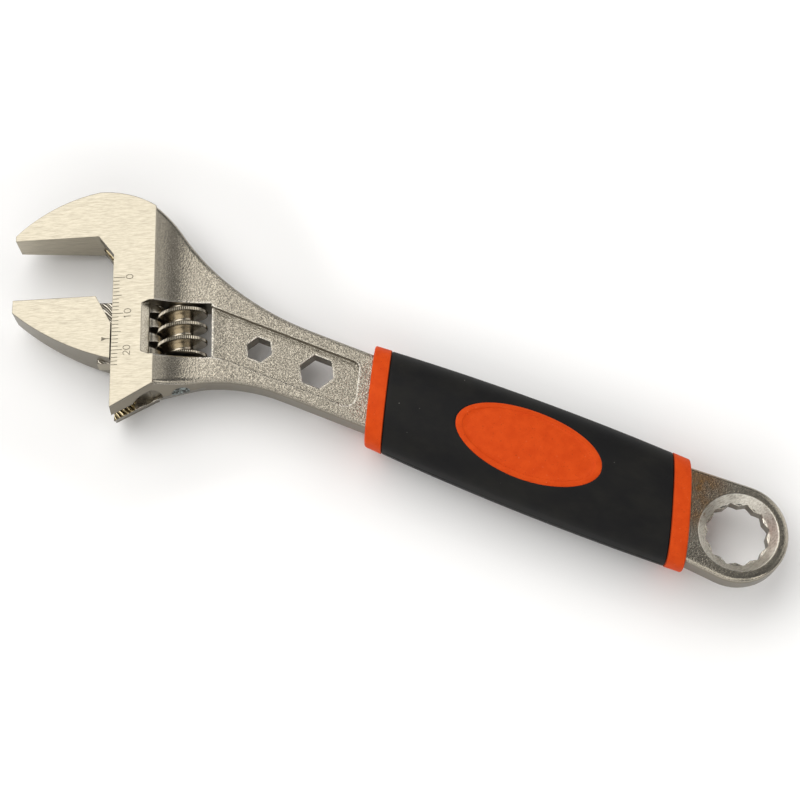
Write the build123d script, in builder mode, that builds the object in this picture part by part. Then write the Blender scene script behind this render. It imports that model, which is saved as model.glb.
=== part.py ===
"""Adjustable wrench with a 12-point ring end and a two-shot grip, in millimetres.

The handle runs along X, from the head to the ring, and Z is up. The jaws slide across the head, which is
turned on the handle by HEAD_ANGLE. In the head's own frame x points from the jaw tips to the handle, y is
the closing direction of the moving jaw, and the origin is the zero of the opening scale on the head's edge.
"""

import os
from math import acos, atan2, cos, hypot, pi, radians, sin, sqrt, tan

from build123d import *

os.makedirs("parts", exist_ok=True)

# Head and handle.
HEAD_ANGLE = 23.8
HEAD_RISE = 2.4
RING_REACH = 170.5
RING_TO_TANG = 14.5
RING_TO_GRIP = 13.2
HANDLE_THICKNESS = 7.2
NECK_WIDTH = 19.0
TANG_WIDTH = 15.0
NECK_START = 52.0
NECK_END = 76.0
RING_START_WIDTH = 23.2
TANG_SHOULDER = 3.5
HANDLE_ROUNDING = 1.4

# Jaws. Heights are along the slide, lengths are along the head's x.
OPENING = 16.8
JAW_LENGTH = 26.0
FACE_HEIGHT = 12.0
EDGE_THICKNESS = 12.6
JAW_TAPER = 5.0
PAD_WIDTH = 10.5
PAD_LAND = 0.3
RAMP_LENGTH = 14.5
TIP_HEIGHT = 1.4
BACK_BULGE = 1.9
CROWN_HEIGHT = 24.7
SHOULDER_HEIGHT = 13.4
RELIEF_WIDTH = 4.1
RELIEF_HEIGHT = 5.4
CHIN_DROP = 35.2
HEEL_DROP = 29.4
THROAT_X = 23.5
THROAT_DROP = 28.2
CHIN_DRAFT = 1.5
HEEL_DRAFT = 1.8
DRAFT_START = 1.0
MOVING_TIP_HEIGHT = 3.4
MOVING_ROOT_HEIGHT = 17.3
MOVING_STEP_HEIGHT = 7.6
MOVING_BULGE = 1.6
JAW_GAP = 0.3

# Slide of the moving jaw: a round rail in a bored channel, joined to the jaw by a thin web.
RAIL_X = 8.6
RAIL_DIAMETER = 7.8
RAIL_TOP_DROP = 1.0
RAIL_LENGTH = 23.9
WEB_THICKNESS = 4.4
WEB_DROP = 0.5
SLIDE_CLEARANCE = 0.08

# Worm, its pin and its spring.
WORM_X = 17.2
WORM_DIAMETER = 13.1
WORM_CORE = 6.6
WORM_LENGTH = 14.0
WORM_LEAD = 4.0
WORM_RIM = 0.95
WORM_FLANK_DEPTH = 1.6
WORM_FLANK_RISE = 0.25
GROOVE_RADIUS = 1.9
RIDGE_AT_RACK = 6.8
WORM_END_PLAY = 0.15
PIN_DIAMETER = 3.0
PIN_HEAD_DIAMETER = 4.6
PIN_HEAD_DEPTH = 2.6
PIN_SEAT = 5.0
PIN_FIT = 0.02
RUNNING_CLEARANCE = 0.06
SPRING_WIRE = 0.5
SPRING_TURNS = 3
SPRING_POCKET_DEPTH = 3.2
SPRING_CLEARANCE = 0.1
MESH_CLEARANCE = 0.22
RACK_ROOT_CLEARANCE = 1.3

# Window for the worm, with a bevel towards the jaws.
WINDOW_TOP = 6.6
WINDOW_HEIGHT = 14.8
WINDOW_LEFT = 9.4
WINDOW_RIGHT = 25.1
WINDOW_BEVEL = 2.0
BEVEL_INSET = 0.9

# Neck: a sunk panel on both faces and two hexagon sockets for keys.
PANEL_ABOVE = 5.8
PANEL_BELOW = 6.3
PANEL_FLARE = 37.0
PANEL_LIP = 0.6
PANEL_LIP_RUN = 3.6
PANEL_END = 69.0
PANEL_DEPTH = 1.6
PANEL_CORNER = 2.5
SMALL_HEX = 6.0
SMALL_HEX_X = 41.8
LARGE_HEX = 8.0
LARGE_HEX_X = 57.8

# Ring end.
RING_DIAMETER = 25.0
RING_HEX = 14.0
RING_LEAD_IN = 1.8
RING_LEAD_DEPTH = 2.0

# Two-shot grip: an orange core with raised end bands and ovals, and a black cover round the rest.
GRIP_FRONT = 72.5
GRIP_SLANT = 16.0
FRONT_WIDTH = 24.2
FRONT_THICKNESS = 16.0
BELLY_X = 120.0
BELLY_WIDTH = 28.6
BELLY_THICKNESS = 18.6
REAR_WIDTH = 26.6
REAR_THICKNESS = 16.6
CROWN = 1.5
SIDE_BULGE = 2.2
GRIP_CORNER = 4.0
COVER_WALL = 1.8
BAND_WIDTH = 4.6
OVAL_LENGTH = 38.2
OVAL_WIDTH = 18.0
BOND_GAP = 0.06
TANG_FIT = 0.08

# Derived places.
HEAD = Plane(origin=(0, HEAD_RISE, 0), x_dir=(cos(radians(HEAD_ANGLE)), sin(radians(HEAD_ANGLE)), 0))
HEAD_SIDE = Plane(origin=HEAD.origin, x_dir=HEAD.x_dir, z_dir=-HEAD.y_dir)
MOVING_FACE = FACE_HEIGHT - OPENING
WINDOW_FLOOR = -WINDOW_TOP - WINDOW_HEIGHT
WORM_BOTTOM = -WINDOW_TOP - WORM_END_PLAY - WORM_LENGTH
WORM_SEAT = Plane(
    origin=HEAD.from_local_coords((WORM_X, WORM_BOTTOM, 0)), x_dir=-HEAD.x_dir, z_dir=HEAD.y_dir
)
RING_START = RING_REACH - RING_TO_TANG
GRIP_REAR = RING_REACH - RING_TO_GRIP
REACH_ALL = RING_REACH + RING_DIAMETER
HALF_HANDLE = HANDLE_THICKNESS / 2
SPRING_RADIUS = PIN_DIAMETER / 2 + SPRING_CLEARANCE + SPRING_WIRE / 2
POCKET_RADIUS = SPRING_RADIUS + SPRING_WIRE / 2 + 2 * SPRING_CLEARANCE
FROM_BELOW = (Align.CENTER, Align.CENTER, Align.MIN)


def on_head(x, y):
    """The point of the head's frame, as a point of the part's frame."""
    return HEAD.from_local_coords((x, y, 0))


def across_slide(x, y):
    """The plane square to the slide through a point of the head's frame."""
    return Plane(origin=on_head(x, y), x_dir=HEAD.x_dir, z_dir=HEAD.y_dir)


def half_head(x):
    """Half of the head's thickness at x, on the ground faces that taper to the jaw tips."""
    return EDGE_THICKNESS / 2 + x * tan(radians(JAW_TAPER))


def ring_tangent(side):
    """Where the straight edge of the tang touches the ring's circle, on one side of the axis."""
    radius = RING_DIAMETER / 2
    half = RING_START_WIDTH / 2
    back = RING_REACH - slanted(RING_START, side * half)[0]
    turn = atan2(half, -back) - acos(radius / hypot(back, half))
    return (RING_REACH + radius * cos(turn), side * radius * sin(turn))


def slanted(x, y):
    """The point of a slanted cut through (x, 0) at a distance y beside the handle's axis."""
    return (x - y * tan(radians(GRIP_SLANT)), y)


def beside_head(x, y):
    """Where the line at x of the head's frame lies at a distance y beside the handle's axis."""
    turn = radians(HEAD_ANGLE)
    return ((x - (y - HEAD_RISE) * sin(turn)) / cos(turn), y)


def slanted_strip(front, rear, half_width):
    """A strip across the handle between two cuts that slant like the ends of the grip."""
    with BuildSketch() as strip:
        with BuildLine():
            Polyline(
                slanted(front, half_width),
                slanted(rear, half_width),
                slanted(rear, -half_width),
                slanted(front, -half_width),
                close=True,
            )
        make_face()
    return strip.sketch


def ground_faces(end):
    """The tapered space between the two ground faces, from beyond the jaw tips to x = end."""
    far = -2 * JAW_LENGTH
    with BuildSketch(HEAD_SIDE) as wedge:
        with BuildLine():
            Polyline(
                (far, half_head(far)),
                (end, half_head(end)),
                (end, -half_head(end)),
                (far, -half_head(far)),
                close=True,
            )
        make_face()
    return wedge


# Plan outline of the body: fixed jaw, head, neck, tang and ring.
with BuildSketch() as outline:
    with BuildLine():
        tip_low = on_head(-JAW_LENGTH, FACE_HEIGHT)
        tip_high = on_head(-JAW_LENGTH, FACE_HEIGHT + TIP_HEIGHT)
        crown = on_head(-RELIEF_WIDTH, CROWN_HEIGHT)
        shoulder = on_head(WORM_X, SHOULDER_HEIGHT)
        heel = on_head(PAD_WIDTH, -HEEL_DROP)
        neck_top = (NECK_START, NECK_WIDTH / 2)
        neck_low = (NECK_START, -NECK_WIDTH / 2)
        throat = on_head(THROAT_X, -THROAT_DROP)
        Line(tip_low, tip_high)
        SagittaArc(tip_high, crown, BACK_BULGE)
        flare = TangentArc(neck_top, shoulder, tangent=(-1, 0))
        TangentArc(shoulder, crown, tangent=flare % 1)
        for side, neck in ((1, neck_top), (-1, neck_low)):
            Polyline(
                neck,
                slanted(NECK_END, side * NECK_WIDTH / 2),
                slanted(NECK_END + TANG_SHOULDER, side * TANG_WIDTH / 2),
                slanted(RING_START - TANG_SHOULDER, side * TANG_WIDTH / 2),
                slanted(RING_START, side * RING_START_WIDTH / 2),
                ring_tangent(side),
            )
        ThreePointArc(ring_tangent(1), (RING_REACH + RING_DIAMETER / 2, 0), ring_tangent(-1))
        TangentArc(neck_low, throat, tangent=(-1, 0))
        Line(throat, heel)
        Polyline(
            heel,
            on_head(0, -CHIN_DROP),
            on_head(0, FACE_HEIGHT - RELIEF_HEIGHT),
            on_head(-RELIEF_WIDTH, FACE_HEIGHT),
            tip_low,
        )
    make_face()

# Draft of the forging along its lower end, which stands out most at the parting plane.
with BuildPart() as end_draft:
    end_stations = (
        (0, CHIN_DROP, half_head(0) - DRAFT_START, CHIN_DRAFT),
        (PAD_WIDTH, HEEL_DROP, half_head(PAD_WIDTH) - DRAFT_START, HEEL_DRAFT),
        (THROAT_X, THROAT_DROP, HALF_HANDLE / 2, SLIDE_CLEARANCE),
    )
    for x, drop, height, draft in end_stations:
        with BuildSketch(Plane(origin=on_head(x, -drop), x_dir=-HEAD.y_dir, z_dir=HEAD.x_dir)):
            with BuildLine():
                Polyline(
                    (-draft, height),
                    (0, height),
                    (draft, 0),
                    (0, -height),
                    (-draft, -height),
                    close=True,
                )
            make_face()
    loft(ruled=True)

# Bevel of the window on both faces, towards the jaws, where a thumb reaches the worm. Its ends slant out.
with BuildPart() as thumb_bevel:
    with BuildSketch(HEAD):
        with BuildLine():
            Polyline(
                (WINDOW_LEFT, -WINDOW_TOP),
                (WINDOW_LEFT - 2 * WINDOW_BEVEL, -WINDOW_TOP - 2 * BEVEL_INSET),
                (WINDOW_LEFT - 2 * WINDOW_BEVEL, WINDOW_FLOOR + 2 * BEVEL_INSET),
                (WINDOW_LEFT, WINDOW_FLOOR),
                close=True,
            )
        make_face()
    extrude(amount=EDGE_THICKNESS, both=True)
    with BuildSketch(HEAD_SIDE):
        for side in (1, -1):
            with BuildLine():
                Polyline(
                    (WINDOW_LEFT, side * (half_head(WINDOW_LEFT) - WINDOW_BEVEL)),
                    (WINDOW_LEFT - 2 * WINDOW_BEVEL, side * (half_head(WINDOW_LEFT) + WINDOW_BEVEL)),
                    (WINDOW_LEFT, side * (half_head(WINDOW_LEFT) + WINDOW_BEVEL)),
                    close=True,
                )
            make_face()
    extrude(amount=REACH_ALL, both=True, mode=Mode.INTERSECT)

# Sunk panels on both faces of the neck, which run into the window over a low lip.
with BuildPart() as panels:
    with BuildSketch() as panel_plan:
        with BuildLine():
            window_foot = on_head(WINDOW_RIGHT, WINDOW_FLOOR)
            Polyline(
                window_foot,
                beside_head(WINDOW_RIGHT, PANEL_ABOVE),
                slanted(PANEL_END, PANEL_ABOVE),
                slanted(PANEL_END, -PANEL_BELOW),
                (PANEL_FLARE, -PANEL_BELOW),
            )
            TangentArc((PANEL_FLARE, -PANEL_BELOW), window_foot, tangent=(-1, 0))
        make_face()
        fillet(panel_plan.vertices().sort_by(Axis.X)[-2:], radius=PANEL_CORNER)
    extrude(amount=EDGE_THICKNESS, both=True)
    with BuildSketch(HEAD_SIDE):
        for side in (1, -1):
            panel_floor = HALF_HANDLE - PANEL_DEPTH
            with BuildLine():
                Polyline(
                    (WINDOW_RIGHT, side * (panel_floor + PANEL_LIP)),
                    (WINDOW_RIGHT + PANEL_LIP_RUN, side * panel_floor),
                    (REACH_ALL, side * panel_floor),
                    (REACH_ALL, side * EDGE_THICKNESS),
                    (WINDOW_RIGHT, side * EDGE_THICKNESS),
                    close=True,
                )
            make_face()
    extrude(amount=REACH_ALL, both=True, mode=Mode.INTERSECT)

# Body: the outline cut to the side profile of the tapered head, the ramp and the flat handle.
with BuildPart() as body:
    extrude(outline.sketch, amount=EDGE_THICKNESS, both=True)
    with BuildSketch(HEAD_SIDE):
        add(ground_faces(PAD_WIDTH + PAD_LAND).sketch_local)
        with BuildLine():
            for side in (1, -1):
                pad_end = (PAD_WIDTH, side * half_head(PAD_WIDTH))
                ramp_end = (PAD_WIDTH + RAMP_LENGTH, side * HALF_HANDLE)
                TangentArc(ramp_end, pad_end, tangent=(-1, 0))
                Line(ramp_end, (REACH_ALL, side * HALF_HANDLE))
                Line(pad_end, (PAD_WIDTH, 0))
            Line((REACH_ALL, HALF_HANDLE), (REACH_ALL, -HALF_HANDLE))
        make_face()
    extrude(amount=REACH_ALL, both=True, mode=Mode.INTERSECT)
    flats = body.faces().filter_by(Plane.XY)
    fillet(flats.edges() - flats.edges().filter_by(Axis((0, 0, 0), HEAD.y_dir)), radius=HANDLE_ROUNDING)
    add(end_draft.part)

    # Window for the worm, with its bevels, and the sunk panels.
    with BuildSketch(HEAD):
        with Locations(((WINDOW_LEFT + WINDOW_RIGHT) / 2, -WINDOW_TOP - WINDOW_HEIGHT / 2)):
            Rectangle(WINDOW_RIGHT - WINDOW_LEFT, WINDOW_HEIGHT)
    extrude(amount=EDGE_THICKNESS, both=True, mode=Mode.SUBTRACT)
    add(thumb_bevel.part, mode=Mode.SUBTRACT)
    add(panels.part, mode=Mode.SUBTRACT)

    # Channel for the rail, blind at the top, and the slot for the web between the two cheeks.
    with BuildSketch(across_slide(RAIL_X, FACE_HEIGHT)):
        Circle(RAIL_DIAMETER / 2 + SLIDE_CLEARANCE)
    extrude(amount=-FACE_HEIGHT - CHIN_DROP, mode=Mode.SUBTRACT)
    with BuildSketch(HEAD):
        with Locations((RAIL_X, FACE_HEIGHT)):
            Rectangle(RAIL_X + RELIEF_WIDTH, FACE_HEIGHT + 2 * CHIN_DROP, align=(Align.MAX, Align.MAX))
    extrude(amount=WEB_THICKNESS / 2 + SLIDE_CLEARANCE, both=True, mode=Mode.SUBTRACT)

    # Hole for the worm's pin, drilled from the lower edge, with a seat for its peened end.
    with BuildSketch(across_slide(WORM_X, -WINDOW_TOP + PIN_SEAT)):
        Circle(PIN_DIAMETER / 2 + PIN_FIT)
    extrude(amount=-PIN_SEAT - CHIN_DROP, mode=Mode.SUBTRACT)
    with BuildSketch(across_slide(WORM_X, -HEEL_DROP + PIN_HEAD_DEPTH)):
        Circle(PIN_HEAD_DIAMETER / 2 + PIN_FIT)
    extrude(amount=-2 * PIN_HEAD_DEPTH, mode=Mode.SUBTRACT)

    # Hexagon sockets for keys, a corner of each on the handle's axis.
    with BuildSketch():
        for size, x in ((SMALL_HEX, SMALL_HEX_X), (LARGE_HEX, LARGE_HEX_X)):
            with Locations((x, 0)):
                RegularPolygon(size / 2, 6, major_radius=False)
    extrude(amount=HANDLE_THICKNESS, both=True, mode=Mode.SUBTRACT)

    # 12-point socket of the ring, with a conical lead-in on both faces.
    with BuildSketch():
        with Locations((RING_REACH, 0)):
            for turn in (0, 30):
                RegularPolygon(RING_HEX / 2, 6, major_radius=False, rotation=turn)
    extrude(amount=HANDLE_THICKNESS, both=True, mode=Mode.SUBTRACT)
    lead_radius = RING_HEX / 2 / cos(pi / 6) + RING_LEAD_IN
    for side in (1, -1):
        with Locations(Plane(origin=(RING_REACH, 0, side * HALF_HANDLE), z_dir=(0, 0, side))):
            Cone(
                lead_radius - RING_LEAD_DEPTH,
                lead_radius,
                RING_LEAD_DEPTH,
                align=(Align.CENTER, Align.CENTER, Align.MAX),
                mode=Mode.SUBTRACT,
            )

# Moving jaw: the jaw between the ground faces, its web, its rail and the rack cut into the rail.
LEAD_TURN = atan2(WORM_LEAD, pi * WORM_DIAMETER)
RACK = Plane(
    origin=on_head(WORM_X, WORM_BOTTOM + RIDGE_AT_RACK),
    x_dir=HEAD.x_dir,
    z_dir=HEAD.y_dir * sin(LEAD_TURN) + HEAD.z_dir * cos(LEAD_TURN),
)
with BuildPart() as moving_jaw:
    with BuildSketch(HEAD):
        with BuildLine():
            jaw_chin = (-JAW_LENGTH, MOVING_FACE - MOVING_TIP_HEIGHT)
            jaw_root = (-JAW_GAP, MOVING_FACE - MOVING_ROOT_HEIGHT)
            Polyline(
                jaw_chin,
                (-JAW_LENGTH, MOVING_FACE),
                (-RELIEF_WIDTH - JAW_GAP, MOVING_FACE),
                (-JAW_GAP, MOVING_FACE - MOVING_STEP_HEIGHT),
                jaw_root,
            )
            SagittaArc(jaw_root, jaw_chin, MOVING_BULGE)
        make_face()
    extrude(amount=EDGE_THICKNESS, both=True)
    extrude(ground_faces(0).sketch, amount=REACH_ALL, both=True, mode=Mode.INTERSECT)
    with BuildSketch(HEAD):
        with Locations((RAIL_X, MOVING_FACE - WEB_DROP)):
            Rectangle(RAIL_X + RELIEF_WIDTH, MOVING_ROOT_HEIGHT - WEB_DROP, align=(Align.MAX, Align.MAX))
    extrude(amount=WEB_THICKNESS / 2, both=True)
    with BuildSketch(across_slide(RAIL_X, MOVING_FACE - RAIL_TOP_DROP)):
        Circle(RAIL_DIAMETER / 2)
    extrude(amount=-RAIL_LENGTH)
    space_root = WORM_RIM / 2 + MESH_CLEARANCE
    space_mouth = space_root + 2 * WORM_FLANK_RISE
    space_floor = -WORM_DIAMETER / 2 - RACK_ROOT_CLEARANCE
    rail_edge = RAIL_X + RAIL_DIAMETER / 2 - WORM_X
    lowest = -int(RAIL_LENGTH / WORM_LEAD) - 1
    highest = int((WORM_LENGTH - RIDGE_AT_RACK) / WORM_LEAD) + 1
    with BuildSketch(RACK):
        for step in range(lowest, highest + 1):
            middle = step * WORM_LEAD * cos(LEAD_TURN)
            with BuildLine():
                Polyline(
                    (space_floor, middle + space_root),
                    (rail_edge, middle + space_mouth),
                    (rail_edge, middle - space_mouth),
                    (space_floor, middle - space_root),
                    close=True,
                )
            make_face()
    extrude(amount=RAIL_DIAMETER, both=True, mode=Mode.SUBTRACT)

# Worm: a single-start right-hand ridge with a thin rim and round-bottomed grooves, modelled upright.
with BuildPart() as worm_blank:
    ridge_start = RIDGE_AT_RACK - WORM_LEAD * (int(RIDGE_AT_RACK / WORM_LEAD) + 1)
    ridge_turns = int(WORM_LENGTH / WORM_LEAD) + 3
    with BuildLine() as ridge_path:
        Helix(WORM_LEAD, ridge_turns * WORM_LEAD, WORM_CORE / 2, center=(0, 0, ridge_start))
    with BuildSketch(Plane.XZ) as ridge:
        with BuildLine():
            rim = WORM_DIAMETER / 2
            flank = rim - WORM_FLANK_DEPTH
            flank_half = WORM_RIM / 2 + WORM_FLANK_RISE
            foot = WORM_LEAD / 2 - RUNNING_CLEARANCE
            inside = WORM_CORE / 2 - MESH_CLEARANCE
            for side in (1, -1):
                Polyline(
                    (rim, ridge_start),
                    (rim, ridge_start + side * WORM_RIM / 2),
                    (flank, ridge_start + side * flank_half),
                )
                RadiusArc(
                    (flank, ridge_start + side * flank_half),
                    (inside, ridge_start + side * foot),
                    side * GROOVE_RADIUS,
                )
            Line((inside, ridge_start + foot), (inside, ridge_start - foot))
        make_face()
    sweep(path=ridge_path.line, is_frenet=True)
    split(bisect_by=Plane.XY, keep=Keep.TOP)
    split(bisect_by=Plane.XY.offset(WORM_LENGTH), keep=Keep.BOTTOM)
    Cylinder(WORM_CORE / 2, WORM_LENGTH, align=FROM_BELOW)
    Cylinder(PIN_DIAMETER / 2 + RUNNING_CLEARANCE, WORM_LENGTH, align=FROM_BELOW, mode=Mode.SUBTRACT)
    Cylinder(POCKET_RADIUS, SPRING_POCKET_DEPTH, align=FROM_BELOW, mode=Mode.SUBTRACT)

# Pin of the worm, seated in the head, with its peened end dressed flush to the lower edge.
with BuildPart() as worm_pin:
    with BuildSketch(across_slide(WORM_X, -WINDOW_TOP + PIN_SEAT - SPRING_CLEARANCE)):
        Circle(PIN_DIAMETER / 2)
    extrude(amount=-PIN_SEAT - CHIN_DROP)
    with BuildSketch(across_slide(WORM_X, -HEEL_DROP + PIN_HEAD_DEPTH)):
        Circle(PIN_HEAD_DIAMETER / 2)
    extrude(amount=-2 * PIN_HEAD_DEPTH)
    with BuildPart(mode=Mode.INTERSECT):
        extrude(outline.sketch, amount=EDGE_THICKNESS, both=True)
        add(end_draft.part)

# Spring round the pin, between the floor of the window and the pocket in the worm, modelled upright.
spring_low = WINDOW_FLOOR - WORM_BOTTOM + SPRING_WIRE / 2 + SPRING_CLEARANCE
spring_high = SPRING_POCKET_DEPTH - SPRING_WIRE / 2 - SPRING_CLEARANCE
spring_pitch = (spring_high - spring_low) / SPRING_TURNS


def coil_point(turn):
    """A point on the spring's centre line, after a number of turns."""
    angle = 2 * pi * turn
    return Vector(SPRING_RADIUS * cos(angle), SPRING_RADIUS * sin(angle), spring_low + spring_pitch * turn)


def coil_direction(turn):
    """The direction of the spring's centre line there."""
    angle = 2 * pi * turn
    rise = spring_pitch / (2 * pi)
    return Vector(-SPRING_RADIUS * sin(angle), SPRING_RADIUS * cos(angle), rise).normalized()


def biarc_joint(turn, step):
    """Where the two arcs meet that follow the coil from one turn to the next step of it."""
    start, end = coil_point(turn), coil_point(turn + step)
    leave, arrive = coil_direction(turn), coil_direction(turn + step)
    chord = end - start
    both = leave + arrive
    spread = 2 * (1 - leave.dot(arrive))
    reach = (sqrt(chord.dot(both) ** 2 + spread * chord.dot(chord)) - chord.dot(both)) / spread
    return (start + leave * reach + end - arrive * reach) * 0.5, end - start - both * reach


with BuildPart() as spring_blank:
    with BuildLine() as coil:
        Line(coil_point(0) - coil_direction(0) * SPRING_WIRE, coil_point(0))
        for quarter in range(4 * SPRING_TURNS):
            joint, heading = biarc_joint(quarter / 4, 1 / 4)
            TangentArc(coil_point(quarter / 4), joint, tangent=coil_direction(quarter / 4))
            TangentArc(joint, coil_point((quarter + 1) / 4), tangent=heading)
        coil_end = coil_point(SPRING_TURNS)
        Line(coil_end, coil_end + coil_direction(SPRING_TURNS) * SPRING_WIRE)
    with BuildSketch(Plane(origin=coil.line @ 0, z_dir=coil.line % 0)):
        Circle(SPRING_WIRE / 2)
    sweep(path=coil.line)

per_turn = 48
samples = [coil_point(index / per_turn) for index in range(per_turn * SPRING_TURNS + 1)]
least = min((a - b).length for i, a in enumerate(samples) for b in samples[i + per_turn // 2:])
print("least gap of the spring to itself", round(least - SPRING_WIRE, 3))


def grip_section(x, width, thickness, inset):
    """One cross-section of the grip: crowned faces, bulging sides and round corners."""
    half, height = width / 2 - inset, thickness / 2 - inset
    across, up = half - SIDE_BULGE, height - CROWN
    with BuildSketch(Plane(origin=(x, 0, 0), x_dir=(0, 1, 0), z_dir=(1, 0, 0))) as section:
        with BuildLine():
            for side in (1, -1):
                ThreePointArc((across, side * up), (0, side * height), (-across, side * up))
                ThreePointArc((side * across, up), (side * half, 0), (side * across, -up))
        make_face()
        fillet(section.vertices(), radius=GRIP_CORNER - inset)
    return section.sketch


def grip_form(inset):
    """The swelling form of the grip, drawn in by an inset and longer than its slanted ends."""
    overhang = BELLY_WIDTH / 2 * tan(radians(GRIP_SLANT)) + BAND_WIDTH
    with BuildPart() as form:
        grip_stations = (
            grip_section(GRIP_FRONT - overhang, FRONT_WIDTH, FRONT_THICKNESS, inset),
            grip_section(BELLY_X, BELLY_WIDTH, BELLY_THICKNESS, inset),
            grip_section(GRIP_REAR + overhang, REAR_WIDTH, REAR_THICKNESS, inset),
        )
        loft(grip_stations)
    return form.part


GRIP_FORM = grip_form(0)
COVER_FRONT = GRIP_FRONT + BAND_WIDTH
COVER_REAR = GRIP_REAR - BAND_WIDTH
OVAL_X = (GRIP_FRONT + GRIP_REAR) / 2

# Where the core shows: the two end bands and the ovals on both faces.
with BuildPart() as shown:
    add(GRIP_FORM)
    with BuildSketch() as shown_plan:
        add(slanted_strip(GRIP_FRONT, COVER_FRONT, BELLY_WIDTH))
        add(slanted_strip(COVER_REAR, GRIP_REAR, BELLY_WIDTH))
        with Locations((OVAL_X, 0)):
            Ellipse(OVAL_LENGTH / 2, OVAL_WIDTH / 2)
    extrude(amount=BELLY_THICKNESS, both=True, mode=Mode.INTERSECT)

# Core of the grip, moulded round the tang.
with BuildPart() as grip_core:
    add(grip_form(COVER_WALL + BOND_GAP))
    core_plan = slanted_strip(GRIP_FRONT, GRIP_REAR, BELLY_WIDTH)
    extrude(core_plan, amount=BELLY_THICKNESS, both=True, mode=Mode.INTERSECT)
    add(shown.part)
    with BuildSketch():
        add(outline.sketch)
        offset(amount=TANG_FIT)
    extrude(amount=HALF_HANDLE + TANG_FIT, both=True, mode=Mode.SUBTRACT)

# Cover of the grip, moulded over the core between the bands, with a window for each oval.
with BuildPart() as grip_cover:
    add(GRIP_FORM)
    cover_plan = slanted_strip(COVER_FRONT + BOND_GAP, COVER_REAR - BOND_GAP, BELLY_WIDTH)
    extrude(cover_plan, amount=BELLY_THICKNESS, both=True, mode=Mode.INTERSECT)
    add(grip_form(COVER_WALL), mode=Mode.SUBTRACT)
    with BuildSketch():
        with Locations((OVAL_X, 0)):
            Ellipse(OVAL_LENGTH / 2 + BOND_GAP, OVAL_WIDTH / 2 + BOND_GAP)
    extrude(amount=BELLY_THICKNESS, both=True, mode=Mode.SUBTRACT)

# The pieces stand on z = 0, with the origin under the middle of the assembled wrench.
pieces = {
    "body": body.part,
    "moving_jaw": moving_jaw.part,
    "adjusting_worm": worm_blank.part.moved(Location(WORM_SEAT)),
    "worm_pin": worm_pin.part,
    "worm_spring": spring_blank.part.moved(Location(WORM_SEAT)),
    "grip_core": grip_core.part,
    "grip_cover": grip_cover.part,
}
bounds = Compound(children=[piece.moved(Location()) for piece in pieces.values()]).bounding_box()
REST = Location((-bounds.center().X, -bounds.center().Y, -bounds.min.Z))
for name, piece in pieces.items():
    placed = piece.moved(REST)
    placed.label = name
    export_step(placed, f"parts/{name}.step")
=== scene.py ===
# %% [markdown]
# # An adjustable wrench with a two-shot grip
# The packed CAD model is the frame of this scene: every solid is already in its place, in metres. The
# lesson adds what a solid can't show, such as ground and blasted steel, the knurled worm, the opening
# scale and the moulded grip. Sizes are written in millimetres, as a maker would, and MM turns them to
# metres.

# %% Load the frame
import math
from types import SimpleNamespace

import bmesh
import bpy
import numpy as np
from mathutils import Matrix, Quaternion, Vector


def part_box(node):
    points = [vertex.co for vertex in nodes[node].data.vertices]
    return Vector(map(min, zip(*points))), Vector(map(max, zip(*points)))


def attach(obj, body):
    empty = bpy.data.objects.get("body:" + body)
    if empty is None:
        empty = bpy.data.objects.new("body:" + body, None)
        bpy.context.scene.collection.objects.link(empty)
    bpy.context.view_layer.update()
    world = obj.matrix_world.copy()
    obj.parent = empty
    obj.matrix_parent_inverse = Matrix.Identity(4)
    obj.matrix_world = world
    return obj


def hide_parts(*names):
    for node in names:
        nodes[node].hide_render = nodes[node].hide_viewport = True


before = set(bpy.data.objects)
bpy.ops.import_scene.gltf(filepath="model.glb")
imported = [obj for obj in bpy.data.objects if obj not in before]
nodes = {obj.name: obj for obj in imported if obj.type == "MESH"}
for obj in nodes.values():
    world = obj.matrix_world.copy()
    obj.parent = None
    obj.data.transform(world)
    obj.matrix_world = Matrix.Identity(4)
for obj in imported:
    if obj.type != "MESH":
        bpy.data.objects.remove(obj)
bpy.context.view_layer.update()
MM = 0.001
print("solids in the frame:", sorted(nodes))

# %% [markdown]
# ## Where things are
# The jaws slide across the head, and the head is turned on the handle. Both have a frame of their own in
# which their pieces are easy to describe. The head's frame starts at the zero of the opening scale, with
# x towards the handle and y in the closing direction. The handle's frame starts beside it, on the
# handle's axis. The boxes of two solids tell where the handle lies, and the sizes of the drawing do the
# rest, because they are exact.

# %% The head's frame and the handle's frame
HEAD_ANGLE = math.radians(23.8)
HEAD_RISE = 2.4
RING_REACH = 170.5
RING_RADIUS = 12.5
grip_low, grip_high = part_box("grip_cover")
grip_middle = (grip_high + grip_low) / (2 * MM)
ring_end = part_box("body")[1].x / MM
AXIS = np.array([ring_end - RING_REACH - RING_RADIUS, grip_middle.y, grip_middle.z])
HEAD_ZERO = AXIS + np.array([0.0, HEAD_RISE, 0.0])
HEAD_X = np.array([math.cos(HEAD_ANGLE), math.sin(HEAD_ANGLE), 0.0])
HEAD_Y = np.array([-math.sin(HEAD_ANGLE), math.cos(HEAD_ANGLE), 0.0])
UP = np.array([0.0, 0.0, 1.0])


def on_head(x, y, z):
    """Points of the part's frame, in mm, of head coordinates given as arrays: the zero plus x, y and
    z times the head's three axes."""
    x, y, z = np.broadcast_arrays(np.asarray(x, float), y, z)
    return HEAD_ZERO + x[..., None] * HEAD_X + y[..., None] * HEAD_Y + z[..., None] * UP


print("zero of the scale, mm:", HEAD_ZERO.round(2), "handle's axis starts at", AXIS.round(2))

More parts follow.
